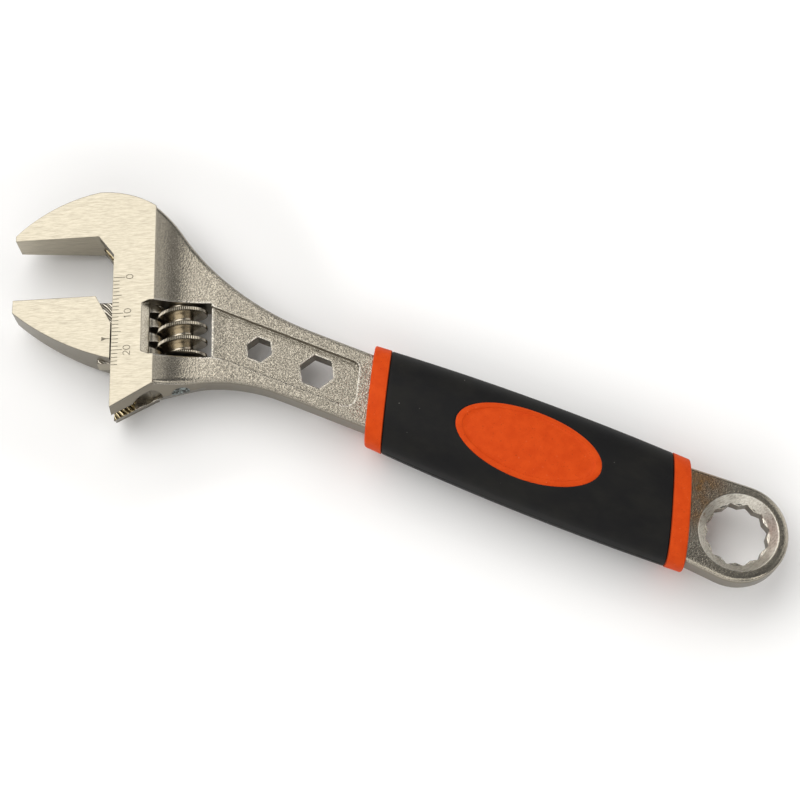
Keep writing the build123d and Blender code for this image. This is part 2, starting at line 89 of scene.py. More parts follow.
# %% [markdown]
# ## Camera
# The photograph looks down on the wrench from the side of its lower edge, about 20 degrees off plumb. A
# camera can be placed by its location and three angles, but these say little. Here it is given by the
# point it looks at, its distance, its heading and its tilt, as on a copy stand, with a slight roll of
# the stand's head.

# %% Camera
LOOK_AT = Vector(HEAD_ZERO + np.array([80.06, -0.8, 0.0])) * MM
DISTANCE = 428.55 * MM
HEADING = math.radians(111.65)
TILT = math.radians(70.12)
ROLL = math.radians(0.62)
FOCAL_LENGTH = 75.76
SENSOR_WIDTH = 36.0
NEAREST = 0.01
gaze = Vector((math.cos(HEADING) * math.cos(TILT), math.sin(HEADING) * math.cos(TILT), -math.sin(TILT)))
lens = bpy.data.cameras.new("copy_stand")
lens.lens = FOCAL_LENGTH
lens.sensor_width = SENSOR_WIDTH
lens.clip_start = NEAREST
camera = bpy.data.objects.new("copy_stand", lens)
camera.location = LOOK_AT - gaze * DISTANCE
camera.rotation_mode = "QUATERNION"
camera.rotation_quaternion = gaze.to_track_quat("-Z", "Y") @ Quaternion((0, 0, 1), ROLL)
bpy.context.scene.collection.objects.link(camera)
bpy.context.scene.camera = camera
bpy.context.scene.view_settings.view_transform = "Standard"
print("camera, mm:", [round(value / MM, 1) for value in camera.location])

# %% [markdown]
# ## Shader maths as expressions
# A finish is a chain of nodes. Wiring each Math node by hand hides the formula, so a small class wraps a
# socket, and an expression such as `1 - mask * 0.3` adds the Math nodes itself. Every other node comes
# from one method, which sets the node's settings first and then the values or links of its sockets.


# %% Sockets in expressions
class Flow:
    """A value on its way through a material's nodes."""

    def __init__(self, tree, socket=None):
        self.tree = tree
        self.socket = socket

    def node(self, kind, settings=None, inputs=None, output=0):
        """Adds a node of a kind: settings first, then the values or links of its sockets."""
        made = self.tree.nodes.new(kind)
        for name, value in (settings or {}).items():
            setattr(made, name, value)
        for key, value in (inputs or {}).items():
            if isinstance(value, Flow):
                self.tree.links.new(value.socket, made.inputs[key])
            else:
                made.inputs[key].default_value = value
        return Flow(self.tree, made.outputs[output] if made.outputs else None)

    def maths(self, operation, first, second=0.0):
        """A Math node on one or two values; the second is 0 unless it is given."""
        return self.node("ShaderNodeMath", {"operation": operation}, {0: first, 1: second})

    def __add__(self, other):
        return self.maths("ADD", self, other)

    def __sub__(self, other):
        return self.maths("SUBTRACT", self, other)

    def __rsub__(self, other):
        return self.maths("SUBTRACT", other, self)

    def __mul__(self, other):
        return self.maths("MULTIPLY", self, other)

    def __abs__(self):
        return self.maths("ABSOLUTE", self)

    __radd__ = __add__
    __rmul__ = __mul__

    def hypot(self, other):
        """The root of this value squared plus another squared."""
        return self.maths("SQRT", self * self + other * other)

    def step(self, low, high):
        """0 below low and 1 above high, with a smooth run between them; low above high falls instead."""
        if low > high:
            return 1 - self.step(high, low)
        ends = {"Value": self, "From Min": low, "From Max": high}
        return self.node("ShaderNodeMapRange", {"interpolation_type": "SMOOTHSTEP"}, ends)

    def within(self, rise, fall):
        """1 between a rising step and a falling one."""
        return self.step(*rise) * self.step(*fall)

    def mix(self, first, second):
        """A colour between two, by this value; red, green and blue alone are an opaque colour."""
        first, second = (end if isinstance(end, Flow) else (*end, 1.0) for end in (first, second))
        return self.node("ShaderNodeMix", {"data_type": "RGBA"}, {"Factor": self, 6: first, 7: second}, 2)

    def place(self, centre, turn=0.0, scale=1.0):
        """Object coordinates in mm from a centre in mm, turned about Z and then scaled by axis."""
        shift = -Vector(centre)
        shift.rotate(Quaternion((0, 0, 1), -turn))
        turned = self.node(
            "ShaderNodeMapping",
            {"vector_type": "POINT"},
            {
                "Vector": self.node("ShaderNodeTexCoord", output="Object"),
                "Scale": (1 / MM, 1 / MM, 1 / MM),
                "Rotation": (0, 0, -turn),
                "Location": shift,
            },
        )
        scales = np.broadcast_to(scale, 3).tolist()
        return self.node("ShaderNodeMapping", {"vector_type": "POINT"}, {"Vector": turned, "Scale": scales})

    def head(self, scale=1.0, lean=0.0):
        """The place in the head's frame, scaled for a pattern that may lean on the head's x axis."""
        return self.place(HEAD_ZERO, HEAD_ANGLE + lean, scale)

    def handle(self, scale=1.0):
        """The place in the handle's frame, scaled for a pattern."""
        return self.place(AXIS, 0.0, scale)

    def axis(self, letter):
        """One coordinate of a vector."""
        return self.node("ShaderNodeSeparateXYZ", {}, {"Vector": self}, letter)

    def noise(self, detail=2.0, rough=0.5):
        """Noise around 0.5, with features one unit of its coordinates across."""
        inputs = {"Vector": self, "Scale": 1.0, "Detail": detail, "Roughness": rough}
        return self.node("ShaderNodeTexNoise", {}, inputs)

    def bump(self, height_mm, under=None):
        """A surface normal from a height in mm, over the mesh's own normal or another one."""
        links = {"Height": height_mm, "Distance": MM, "Strength": 1.0}
        if under is not None:
            links["Normal"] = under
        return self.node("ShaderNodeBump", {}, links)


def finish(name):
    """A new material with no nodes, and the flow to build them."""
    material = bpy.data.materials.new(name)
    material.use_nodes = True
    material.node_tree.nodes.clear()
    return material, Flow(material.node_tree)


def surface(flow, sockets):
    """Ends a finish in one principled shader; its sockets take values or links."""
    shader = flow.node("ShaderNodeBsdfPrincipled", {}, sockets)
    flow.node("ShaderNodeOutputMaterial", {}, {"Surface": shader})


def paint(piece, material):
    """Gives a piece one material in place of those it has."""
    piece.data.materials.clear()
    piece.data.materials.append(material)


print("steps that a finish can use:", [name for name in vars(Flow) if not name.startswith("_")])

# %% [markdown]
# ## Room and lamps
# A product table stands in a dim room under one very large soft box, which hangs over the left half of
# the table, with weaker boxes and cards round it. Steel shows what it mirrors, so the pad and the jaws
# face the box, while the ramp of the head and the ring face the dim right half of the room. An even sky
# would light the table as well, but it would leave the steel without any contrast.

# %% Room and lamps
ROOM_LIGHT = 0.17
ROOM_TINT = (0.98, 0.985, 1.0)
LAMP_TINT = (1.0, 0.985, 0.96)
TABLE_MIDDLE = (0.0, 0.0, 0.0)
room = bpy.data.worlds.new("room")
bpy.context.scene.world = room
room.use_nodes = True
room.node_tree.nodes["Background"].inputs["Color"].default_value = (*ROOM_TINT, 1.0)
room.node_tree.nodes["Background"].inputs["Strength"].default_value = ROOM_LIGHT


def soft_box(name, place, aim, width, height, radiance):
    """A rectangular area lamp at a place in metres, turned to a point; its watts are its radiance
    times its area times pi."""
    lamp = bpy.data.lights.new(name, "AREA")
    lamp.shape = "RECTANGLE"
    lamp.size = width
    lamp.size_y = height
    lamp.energy = radiance * width * height * math.pi
    lamp.color = LAMP_TINT
    made = bpy.data.objects.new(name, lamp)
    made.location = place
    made.rotation_mode = "QUATERNION"
    made.rotation_quaternion = (Vector(aim) - Vector(place)).to_track_quat("-Z", "Y")
    bpy.context.scene.collection.objects.link(made)


# The overhead box is aimed a millimetre off plumb, which keeps its sides along the table.
soft_box("overhead_box", (-0.83, 0.20, 0.90), (-0.83, 0.201, 0.0), 1.6, 1.4, 2.20)
soft_box("right_box", (0.70, 0.60, 0.60), TABLE_MIDDLE, 0.9, 0.8, 0.80)
soft_box("front_box", (0.30, -0.80, 0.85), (0.05, 0.0, 0.0), 0.8, 0.5, 1.5)
soft_box("front_card", (0.0, -0.80, 0.28), TABLE_MIDDLE, 1.2, 0.3, 1.3)
soft_box("ring_card", (0.85, -0.45, 0.48), (0.10, 0.0, 0.0), 0.40, 0.35, 2.1)
soft_box("back_card", (0.95, 0.90, 0.16), TABLE_MIDDLE, 0.9, 0.3, 1.7)
soft_box("left_card", (-1.10, 0.30, 0.14), TABLE_MIDDLE, 0.9, 0.26, 2.2)
print("lamps:", sorted(light.name for light in bpy.data.lights))

# %% [markdown]
# ## White sheet
# The wrench lies on white paper that is plain white in the picture but for the soft shadow round the
# wrench. More light would make the paper white as well, but it would burn out the steel. So the paper
# glows a little where it lies clear of the shadow, and only for rays from the camera, off gloss or
# through clear things, which leaves the light on the wrench as it is. The distance to a line along the
# handle, less a spread at the head, tells what is clear.

# %% White sheet
SHEET_SIZE = 4.0
SHEET_WHITE = 0.95
PAPER_SHADE = 0.01
PAPER_CLOUD = 0.05
SHEET_LIFT = 0.20
SHADOW_MIDDLE = 80.0
SHADOW_HALF = 85.0
CLEAR_OF_SHADOW = (16.0, 44.0)
HEAD_SPREAD = 26.0
HEAD_SIDE = (60.0, 20.0)
SEEN_BY = ("Is Camera Ray", "Is Glossy Ray", "Is Transmission Ray")

sheet_white, flow = finish("sheet_white")
cloud = flow.place((0, 0, 0), 0.0, PAPER_CLOUD).noise(3.0)
paper_shades = [(SHEET_WHITE + shade,) * 3 for shade in (-PAPER_SHADE, PAPER_SHADE)]
paper = flow.node("ShaderNodeBsdfDiffuse", {}, {"Color": cloud.mix(*paper_shades)})
spot = flow.handle()
along, beside = spot.axis("X"), spot.axis("Y")
past_end = flow.maths("MAXIMUM", abs(along - SHADOW_MIDDLE) - SHADOW_HALF)
from_wrench = past_end.hypot(beside) - HEAD_SPREAD * along.step(*HEAD_SIDE)
seen = sum(flow.node("ShaderNodeLightPath", output=ray) for ray in SEEN_BY).step(0.0, 1.0)
lift = (seen * from_wrench.step(*CLEAR_OF_SHADOW)).mix((0.0, 0.0, 0.0), (SHEET_LIFT,) * 3)
glow = flow.node("ShaderNodeEmission", {}, {"Color": lift})
glowing_paper = flow.node("ShaderNodeAddShader", {}, {0: paper, 1: glow})
flow.node("ShaderNodeOutputMaterial", {}, {"Surface": glowing_paper})

sheet_corners = np.array([(-1, -1, 0), (1, -1, 0), (1, 1, 0), (-1, 1, 0)]) * SHEET_SIZE / 2
sheet_mesh = bpy.data.meshes.new("sheet")
sheet_mesh.from_pydata(sheet_corners.tolist(), [], [(0, 1, 2, 3)])
sheet = bpy.data.objects.new("sheet", sheet_mesh)
bpy.context.scene.collection.objects.link(sheet)
paint(sheet, sheet_white)
print("sheet:", SHEET_SIZE, "m square")

# %% [markdown]
# ## Forged steel: where each treatment lies
# The body and the jaw are drop-forged, blasted and nickel-plated. Then the broad faces of the jaws and
# the two faces that bite are ground, the slide's slot is milled, and the ring's lead-in is turned. A
# material for each treatment would need split faces, but the solids' meshes stay as they are. So one
# finish serves them all, and masks from the place and the normal tell the treatments apart.

# %% Masks of the treatments
PAD_WIDTH = 10.5
PAD_LAND = 0.3
PAD_BLUR = 0.03
GROUND_HEIGHT = (3.2, 3.4)
BITE_END = (0.2, 0.0)
SLOT_HALF = (2.8, 2.7)
LEAD_IN_RADIUS = (10.1, 10.0)
LEVEL = (0.97, 0.985)
SQUARE = (0.985, 0.995)
CONE = ((0.4, 0.6), (0.9, 0.8))
UPWARD = (0.25, 0.7)


def treatments(flow):
    """Masks over the forging, each a product of steps. Ground is level, on the pad and clear of the
    middle plane, or square to the slide and ahead of the pad; the slot is level and near the middle
    plane; the lead-in is a cone inside the ring's circle; blasted is what faces up or down."""
    place, handle = flow.head(), flow.handle()
    x, from_middle = place.axis("X"), abs(place.axis("Z"))
    along, beside = handle.axis("X"), handle.axis("Y")
    normal = flow.node("ShaderNodeTexCoord", output="Normal")
    facing = abs(normal.axis("Z"))
    biting = abs(normal.axis("X") * float(HEAD_Y[0]) + normal.axis("Y") * float(HEAD_Y[1])).step(*SQUARE)
    pad_end = PAD_WIDTH + PAD_LAND
    broad = facing.step(*LEVEL) * x.step(pad_end + PAD_BLUR, pad_end - PAD_BLUR)
    return SimpleNamespace(
        x=x,
        along=along,
        beside=beside,
        ground=broad * from_middle.step(*GROUND_HEIGHT) + biting * x.step(*BITE_END),
        slot=broad * from_middle.step(*SLOT_HALF),
        lead_in=(along - RING_REACH).hypot(beside).step(*LEAD_IN_RADIUS) * facing.within(*CONE),
        blasted=facing.step(*UPWARD),
    )


print("ground pad, mm from the slide's edge: 0 to", PAD_WIDTH + PAD_LAND)

# %% [markdown]
# ## Forged steel: patterns
# Grinding leaves fine lines along the head with a few strays across them, blasting leaves a grain like
# orange peel, and the cutters leave scribbles in the lead-in and slanted steps in the slot. Scanned
# pictures of steel would show the same, but noise that is stretched along one axis needs no picture and
# has no seams.

# %% Patterns in the steel
LINE_SCALE = (0.03, 5.0, 5.0)
LINE_LEAN = 0.05
STRAY_SCALE = (0.05, 3.0, 3.0)
STRAY_LEAN = -0.06
PEEL_SCALE = 2.6
CLOUD_SCALE = 0.22
SCRIBBLE_SCALE = (0.6, 2.8, 2.8)
SCRIBBLE_LEAN = 0.6
CUT_SCALE = (0.42, 0.42, 0.05)


def steel_patterns(flow):
    """Values around 0.5: noise in stretched coordinates, and a bent wave for the slot's steps."""
    wave = {"Vector": flow.head(CUT_SCALE), "Scale": 1.0, "Distortion": 2.5, "Detail": 2.0}
    return SimpleNamespace(
        lines=flow.head(LINE_SCALE, LINE_LEAN).noise(4.0, 0.7),
        strays=flow.head(STRAY_SCALE, STRAY_LEAN).noise(3.0, 0.65),
        peel=flow.head(PEEL_SCALE).noise(2.5, 0.55),
        cloud=flow.head(CLOUD_SCALE).noise(4.0, 0.6),
        scribble=flow.head(SCRIBBLE_SCALE, SCRIBBLE_LEAN).noise(4.0, 0.7),
        cuts=flow.node("ShaderNodeTexWave", {"bands_direction": "DIAGONAL"}, wave),
    )


print("grain of the blasting, mm:", round(1 / PEEL_SCALE, 2))

# %% [markdown]
# ## Forged steel: wear and painted highlights
# The edges of the window, the sockets, the panel's end and the ring are lighter: partly plating that hands
# and bolts rub bright, partly a painted highlight on their rounding. Damp has left a brown stain beside the
# grip. An edge is found by ambient occlusion that looks inwards: from just under a sharp edge, rays soon
# meet the next face. The pointiness of the mesh would show edges too, but only where the mesh is dense.

# %% Wear and painted highlights on the steel
STAIN_SPAN = ((148.5, 153.5), (167.0, 158.0))
STAIN_MIDDLE = 5.0
STAIN_HALF = (11.0, 3.0)
STAIN_CLOUD = (0.35, 0.60)
# Lighter edges: partly plating rubbed bright, partly painted highlight.
WORN_HIGHLIT_EDGE = 0.8
WORN_HIGHLIT_OCCLUSION = (0.06, 0.40)
WORN_HIGHLIT_CLOUD = (0.35, 0.55)
THINNEST_COVER = 0.45
SOCKET_HALF = (5.5, 5.0)
SOCKET_SPAN = ((34.0, 35.0), (65.0, 64.0))
WINDOW_END = (28.0, 27.0)
PANEL_END = ((66.5, 67.0), (74.0, 73.0))
RING_START = (150.0, 155.0)
ELSEWHERE_SHARE = 0.2
EDGE_SAMPLES = 8


def steel_wear(flow, where, pattern):
    """Masks of the stain and of the lighter edges, partly rubbed plating and partly painted highlight.
    The stain fades from a middle beside the grip. An edge is lightened as far as the rays inside are
    stopped, most where the tool is handled and the edges catch the light. Both thin out with the cloud."""
    stain_cover = THINNEST_COVER + (1 - THINNEST_COVER) * pattern.cloud.step(*STAIN_CLOUD)
    stain_place = where.along.within(*STAIN_SPAN) * abs(where.beside - STAIN_MIDDLE).step(*STAIN_HALF)
    stain = stain_place * stain_cover
    open_inside = flow.node(
        "ShaderNodeAmbientOcclusion",
        {"samples": EDGE_SAMPLES, "inside": True, "only_local": True},
        {"Distance": WORN_HIGHLIT_EDGE * MM},
        "AO",
    )
    # Where the lighter edges are strongest: rubbed plating and painted highlight.
    sockets = abs(where.beside).step(*SOCKET_HALF) * where.along.within(*SOCKET_SPAN)
    ends = where.along.within(*PANEL_END) + where.along.step(*RING_START)
    worn_highlit_zones = ELSEWHERE_SHARE + (1 - ELSEWHERE_SHARE) * (sockets + where.x.step(*WINDOW_END) + ends)
    worn_highlit_cover = THINNEST_COVER + (1 - THINNEST_COVER) * pattern.cloud.step(*WORN_HIGHLIT_CLOUD)
    # Lighter edges, partly rubbed plating and partly painted highlight.
    wear_and_painted_light = (1 - open_inside).step(*WORN_HIGHLIT_OCCLUSION) * worn_highlit_cover * where.blasted * worn_highlit_zones
    return stain, wear_and_painted_light * (1 - stain)


print("stain beside the grip, mm along the handle:", STAIN_SPAN[0][0], "to", STAIN_SPAN[1][0])

# %% [markdown]
# ## Forged steel: colour and relief
# Colour and height are sums of the patterns, each times the mask of its treatment. The grain is fine on
# the ramp and the ring and coarse on the neck. The edges of a real forging are a little round, while the
# solid's are sharp. A Bevel modifier would change the solid's mesh, so the Bevel node rounds the normals
# alone, and the relief is laid over them.

# %% Colour and relief of the steel
GROUND_TINTS = ((0.30, 0.272, 0.212), (0.50, 0.457, 0.366))
BLAST_TINTS = ((0.23, 0.208, 0.169), (0.47, 0.431, 0.356))
STAIN_BROWN = (0.30, 0.155, 0.055)
STAIN_STRENGTH = 0.9
LEAD_IN_BRIGHT = (0.74, 0.71, 0.64)
# Colour of the lighter edges: rubbed nickel and painted highlight.
WORN_HIGHLIT_NICKEL = (0.66, 0.625, 0.55)
SPECKLED = (0.34, 0.64)
LEAST_SPECKLE = 0.3
SCRIBBLED = (0.25, 0.6)
LINED = (0.30, 0.68)
STRAYED = (0.32, 0.66)
LINE_SHARE = 0.6
MILLED = (0.35, 0.65)
COARSE_FROM = (13.0, 30.0)
FINE_AGAIN = (140.0, 150.0)
LINE_HEIGHT = 0.012
CUT_HEIGHT = 0.15
SCRIBBLE_HEIGHT = 0.05
PEEL_HEIGHT = 0.29
FORGED_EDGE = 0.55
GROUND_EDGE = 0.25


def coarseness(where):
    """How coarse the blasting is: a tenth on the ramp, all on the neck and a fifth round the ring."""
    return 0.10 + 0.90 * where.x.step(*COARSE_FROM) - 0.80 * where.along.step(*FINE_AGAIN)


def steel_colour(where, pattern, stain, wear_and_painted_light, cut_tints):
    """Tints between dark and light by the patterns, laid over each other by the masks: blasting,
    stain, lead-in, rubbed edges with a painted highlight, ground faces and slot."""
    contrast = LEAST_SPECKLE + (1 - LEAST_SPECKLE) * coarseness(where)
    speckle = 0.5 + (pattern.peel.step(*SPECKLED) - 0.5) * contrast
    blasted = (speckle * where.blasted).mix(*BLAST_TINTS)
    stained = (stain * STAIN_STRENGTH).mix(blasted, STAIN_BROWN)
    scored = (where.lead_in * pattern.scribble.step(*SCRIBBLED)).mix(stained, LEAD_IN_BRIGHT)
    # Rubbed edges with a painted highlight.
    plated = wear_and_painted_light.mix(scored, WORN_HIGHLIT_NICKEL)
    worn = pattern.lines.step(*LINED) * LINE_SHARE + pattern.strays.step(*STRAYED) * (1 - LINE_SHARE)
    milled = pattern.cuts.step(*MILLED).mix(*cut_tints)
    return where.slot.mix(where.ground.mix(plated, worn.mix(*GROUND_TINTS)), milled)


def steel_normal(flow, where, pattern):
    """The rounded normals, with a small radius on ground faces and a larger one elsewhere, under a
    height in mm that adds up each pattern times its mask."""
    grain = where.blasted * (1 - where.ground - where.slot - where.lead_in) * coarseness(where)
    height = where.ground * (pattern.lines + pattern.strays) * LINE_HEIGHT
    height += where.slot * pattern.cuts * CUT_HEIGHT
    height += where.lead_in * pattern.scribble * SCRIBBLE_HEIGHT
    height += grain * pattern.peel * PEEL_HEIGHT
    forged, ground = (
        flow.node("ShaderNodeBevel", {"samples": EDGE_SAMPLES}, {"Radius": radius * MM})
        for radius in (FORGED_EDGE, GROUND_EDGE)
    )
    ends = {"Factor": where.ground, 4: forged, 5: ground}
    return flow.bump(height, flow.node("ShaderNodeMix", {"data_type": "VECTOR"}, ends, 1))


print("edges look rounded by, mm:", FORGED_EDGE, "forged,", GROUND_EDGE, "ground")

# %% [markdown]
# ## Forged steel: the finish
# Plated steel is metal all over, so only its colour, its roughness and its normal change. The body and
# the jaw share the finish, but the milled slot of the body is yellow with oil, and the jaw's cuts are
# plain steel. One function with two tints makes both materials.

# %% Finish of the forging
BODY_CUTS = ((0.16, 0.125, 0.07), (0.56, 0.48, 0.31))
JAW_CUTS = ((0.20, 0.185, 0.155), (0.52, 0.48, 0.41))
GROUND_ROUGH = 0.27
STRAY_ROUGH = 0.14
FORGED_ROUGH = 0.30
BLAST_GLOSS = 0.12
CLOUD_ROUGH = 0.10
LEAD_IN_ROUGH = 0.16


def forged_steel(name, cut_tints):
    """A nickel-plated forging: the ground faces are a little rough along their lines, and blasted
    faces, edges and the lead-in have a roughness of their own."""
    material, flow = finish(name)
    where = treatments(flow)
    pattern = steel_patterns(flow)
    stain, wear_and_painted_light = steel_wear(flow, where, pattern)
    ground_rough = GROUND_ROUGH + pattern.strays * STRAY_ROUGH
    forged_rough = FORGED_ROUGH - where.blasted * BLAST_GLOSS + pattern.cloud * CLOUD_ROUGH
    forged_rough += where.lead_in * LEAD_IN_ROUGH
    surface(
        flow,
        {
            "Base Color": steel_colour(where, pattern, stain, wear_and_painted_light, cut_tints),
            "Metallic": 1.0,
            "Roughness": where.ground * ground_rough + (1 - where.ground) * forged_rough,
            "Normal": steel_normal(flow, where, pattern),
        },
    )
    return material


paint(nodes["body"], forged_steel("forged_steel_body", BODY_CUTS))
paint(nodes["moving_jaw"], forged_steel("forged_steel_jaw", JAW_CUTS))
print("forged steel on the body and the moving jaw")

# %% [markdown]
# ## Pin and spring
# The pin is hammered flat at its lower end, which leaves a dark, blotched spot in the plating. The
# spring is drawn wire, oiled and nearly black between its coils. Modelled dents would be too small to
# see, so both have a mottled finish on the plain solid.

# %% Pin and spring
PIN_TINTS = ((0.05, 0.05, 0.045), (0.30, 0.345, 0.33))
SPRING_TINTS = ((0.09, 0.085, 0.08), (0.34, 0.33, 0.31))

pin_steel, flow = finish("pin_steel")
blotch = flow.head(0.9).noise(4.0, 0.65)
dents = flow.head(1.6).noise(2.0, 0.5)
surface(
    flow,
    {
        "Base Color": blotch.step(0.42, 0.58).mix(*PIN_TINTS),
        "Metallic": 0.8,
        "Roughness": 0.30 + blotch * 0.3,
        "Normal": flow.bump(dents * 0.3),
    },
)
paint(nodes["worm_pin"], pin_steel)

spring_steel, flow = finish("spring_steel")
oil = flow.head(1.5).noise(3.0, 0.6)
surface(
    flow,
    {
        "Base Color": oil.step(0.35, 0.65).mix(*SPRING_TINTS),
        "Metallic": 1.0,
        "Roughness": 0.22 + oil * 0.25,
        "Normal": flow.bump(oil * 0.03),
    },
)
paint(nodes["worm_spring"], spring_steel)
print("finishes of the small pieces:", pin_steel.name, "and", spring_steel.name)

# %% [markdown]
# ## Surfaces on grids
# Every new piece is a function of two parameters, worked out for whole arrays at once. The points of a
# grid are numbered row by row, so its faces follow from the numbers alone. Modelling tools would need a
# hand at each step, while a formula can be read and changed. Pieces are written in millimetres, and only
# the mesh is in metres.

# %% Grid helpers
PINCH = 2e-7
CREASE = 40.0


def grid_faces(rows, columns, wrap_rows=False, wrap_columns=False):
    """Quads between neighbours of a grid of rows times columns, joined at the ends where it wraps."""
    row = np.arange(rows if wrap_rows else rows - 1)[:, None] * columns
    column = np.arange(columns if wrap_columns else columns - 1)[None, :]
    below = (row + columns) % (rows * columns)
    beside = (column + 1) % columns
    corners = np.broadcast_arrays(row + column, row + beside, below + beside, below + column)
    return np.stack(corners, -1).reshape(-1, 4)


def join(*shapes):
    """One list of points and one of faces from several (points, faces) shapes."""
    points, faces, start = [], [], 0
    for shape_points, shape_faces in shapes:
        flat = np.asarray(shape_points).reshape(-1, 3)
        points.append(flat)
        faces += (np.asarray(shape_faces) + start).tolist()
        start += len(flat)
    return np.concatenate(points), faces


def make_piece(name, points, faces, body, slot, material, crease=CREASE):
    """A mesh piece at the origin that rides on a body; edges past the crease angle stay sharp."""
    mesh = bpy.data.meshes.new(name)
    mesh.from_pydata((np.asarray(points).reshape(-1, 3) * MM).tolist(), [], [list(face) for face in faces])
    work = bmesh.new()
    work.from_mesh(mesh)
    bmesh.ops.remove_doubles(work, verts=work.verts, dist=PINCH)
    bmesh.ops.dissolve_degenerate(work, edges=work.edges, dist=PINCH)
    bmesh.ops.recalc_face_normals(work, faces=work.faces)
    work.to_mesh(mesh)
    work.free()
    mesh.polygons.foreach_set("use_smooth", np.ones(len(mesh.polygons), bool))
    mesh.set_sharp_from_angle(angle=math.radians(crease))
    piece = bpy.data.objects.new(name, mesh)
    bpy.context.scene.collection.objects.link(piece)
    paint(piece, material)
    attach(piece, body)
    print(name, "has", len(mesh.polygons), "faces")
    return piece


print("faces of a small closed tube:", len(grid_faces(3, 4, wrap_columns=True)))

# %% [markdown]
# ## Opening scale: strokes
# The pad carries a scale in millimetres, burnt into the ground steel, and the jaw a pointer that reads
# the opening. A pattern in the finish could draw them, but lines a fifth of a millimetre wide stay
# crisper as thin bars that lie on the face. A bar is a flat section carried along a path on the tapered
# face.

# %% Strokes on the ground faces
EDGE_THICKNESS = 12.6
TAPER = math.tan(math.radians(5.0))
MARK_DEPTH = 0.03
MARK_LIFT = 0.03
LINE_WIDTH = 0.17


def ground_height(x):
    """Height of the upper ground face over the middle plane: half the edge thickness plus the taper."""
    return EDGE_THICKNESS / 2 + x * TAPER


def stroke(path, width):
    """A flat bar along a path of head points: four corner lines, offset sideways by half the width
    and in height. The width may change along the path."""
    path = np.asarray(path, float)
    width = np.broadcast_to(width, len(path))[:, None]
    along = np.gradient(path, axis=0)
    along /= np.linalg.norm(along, axis=1, keepdims=True)
    side = np.stack([-along[:, 1], along[:, 0]], -1) * width / 2
    edges = np.stack([path + side, path - side, path - side, path + side], 1)
    lifts = np.array([MARK_LIFT, MARK_LIFT, -MARK_DEPTH, -MARK_DEPTH])
    x, y = edges[..., 0], edges[..., 1]
    points = on_head(x, y, ground_height(x) + lifts)
    last = 4 * (len(path) - 1)
    faces = grid_faces(len(path), 4, wrap_columns=True).tolist()
    return points, np.array(faces + [[3, 2, 1, 0], [last, last + 1, last + 2, last + 3]])


print("ground face at the slide's edge, mm over the middle plane:", ground_height(0.0))

# %% [markdown]
# ## Opening scale: numbers, ticks and pointer
# The scale has a tick for every millimetre from 0 to 24, longer at fives and tens, and numbers at the
# tens, which read along the head's edge. A font would bring many small faces, so each digit is one stroke:
# an oval, a stem with a flag, and a bow with a foot.

# %% Marks on the ground faces
SCALE_END = 24
TICK_START = 0.12
ZERO_TICK = 3.2
TICK_LENGTHS = {10: 2.9, 5: 2.4, 1: 1.75}
DIGIT_HEIGHT = 1.75
DIGIT_WIDTH = 1.15
DIGIT_FOOT = -DIGIT_HEIGHT / 2
OVAL_STROKE = 33
BOW_STROKE = 15
BAR_STROKE = 3
ZERO_PLACE = (4.3, 0.1)
TENS_X = 4.0
DIGIT_SHIFTS = (-0.95, 0.55)
MOVING_FACE = -4.8
POINTER_DROP = 12.0
POINTER_HEAD = (-2.5, -1.3)
POINTER_WIDTHS = (1.05, 0.15)
POINTER_LINE = (-1.4, -0.4)
MARK_TINTS = ((0.08, 0.068, 0.049), (0.20, 0.176, 0.128))


def zero_path():
    """An upright oval of the digit's size, as points round a circle drawn narrow."""
    turn = np.linspace(0, 2 * np.pi, OVAL_STROKE)
    return np.stack([np.sin(turn) * DIGIT_WIDTH / 2, np.cos(turn) * DIGIT_HEIGHT / 2], -1)


def one_path():
    """A short flag up to the top, then the stem down."""
    return np.array([[-0.28, 0.5], [0.0, 0.86], [0.04, 0.84], [0.04, 0.0], [0.04, DIGIT_FOOT]])


def two_path():
    """A little over half a circle over the top, a run down to the left, and the foot."""
    turn = np.linspace(np.pi * 0.95, -np.pi * 0.2, BOW_STROKE)
    bow = np.stack([0.5 * np.cos(turn), 0.38 + 0.48 * np.sin(turn)], -1)
    return np.concatenate([bow, [[-0.54, -0.84], [-0.5, DIGIT_FOOT], [0.56, DIGIT_FOOT]]])


def digit(path, x, y):
    """A digit turned a quarter to the left, to read up the head's edge, with its middle at x and y."""
    return stroke(np.stack([x - path[:, 1], y + path[:, 0]], -1), LINE_WIDTH)


def bar(start, end, y, widths):
    """A straight stroke along the head's x axis."""
    return stroke(np.linspace((start, y), (end, y), BAR_STROKE), widths)


def tick(at):
    """One tick of the scale: longest at the zero, shorter at tens, fives and ones."""
    length = next(size for every, size in TICK_LENGTHS.items() if at % every == 0)
    return bar(TICK_START, length if at else ZERO_TICK, -at, LINE_WIDTH)


scale_shapes = [tick(at) for at in range(SCALE_END + 1)] + [digit(zero_path(), *ZERO_PLACE)]
for tens, first_path in ((1, one_path()), (2, two_path())):
    for path, shift in zip((first_path, zero_path()), DIGIT_SHIFTS):
        scale_shapes.append(digit(path, TENS_X, -10 * tens + shift))

mark_ink, flow = finish("mark_ink")
speck = flow.head(3.0).noise(2.0)
surface(flow, {"Base Color": speck.step(0.35, 0.7).mix(*MARK_TINTS), "Metallic": 0.3, "Roughness": 0.55})
make_piece("scale_marks", *join(*scale_shapes), "frame", "forged_steel", mark_ink)
pointer_y = MOVING_FACE - POINTER_DROP
pointer_head = bar(*POINTER_HEAD, pointer_y, np.linspace(*POINTER_WIDTHS, BAR_STROKE))
pointer_line = bar(*POINTER_LINE, pointer_y, LINE_WIDTH)
make_piece("jaw_pointer", *join(pointer_head, pointer_line), "jaw", "forged_steel", mark_ink)

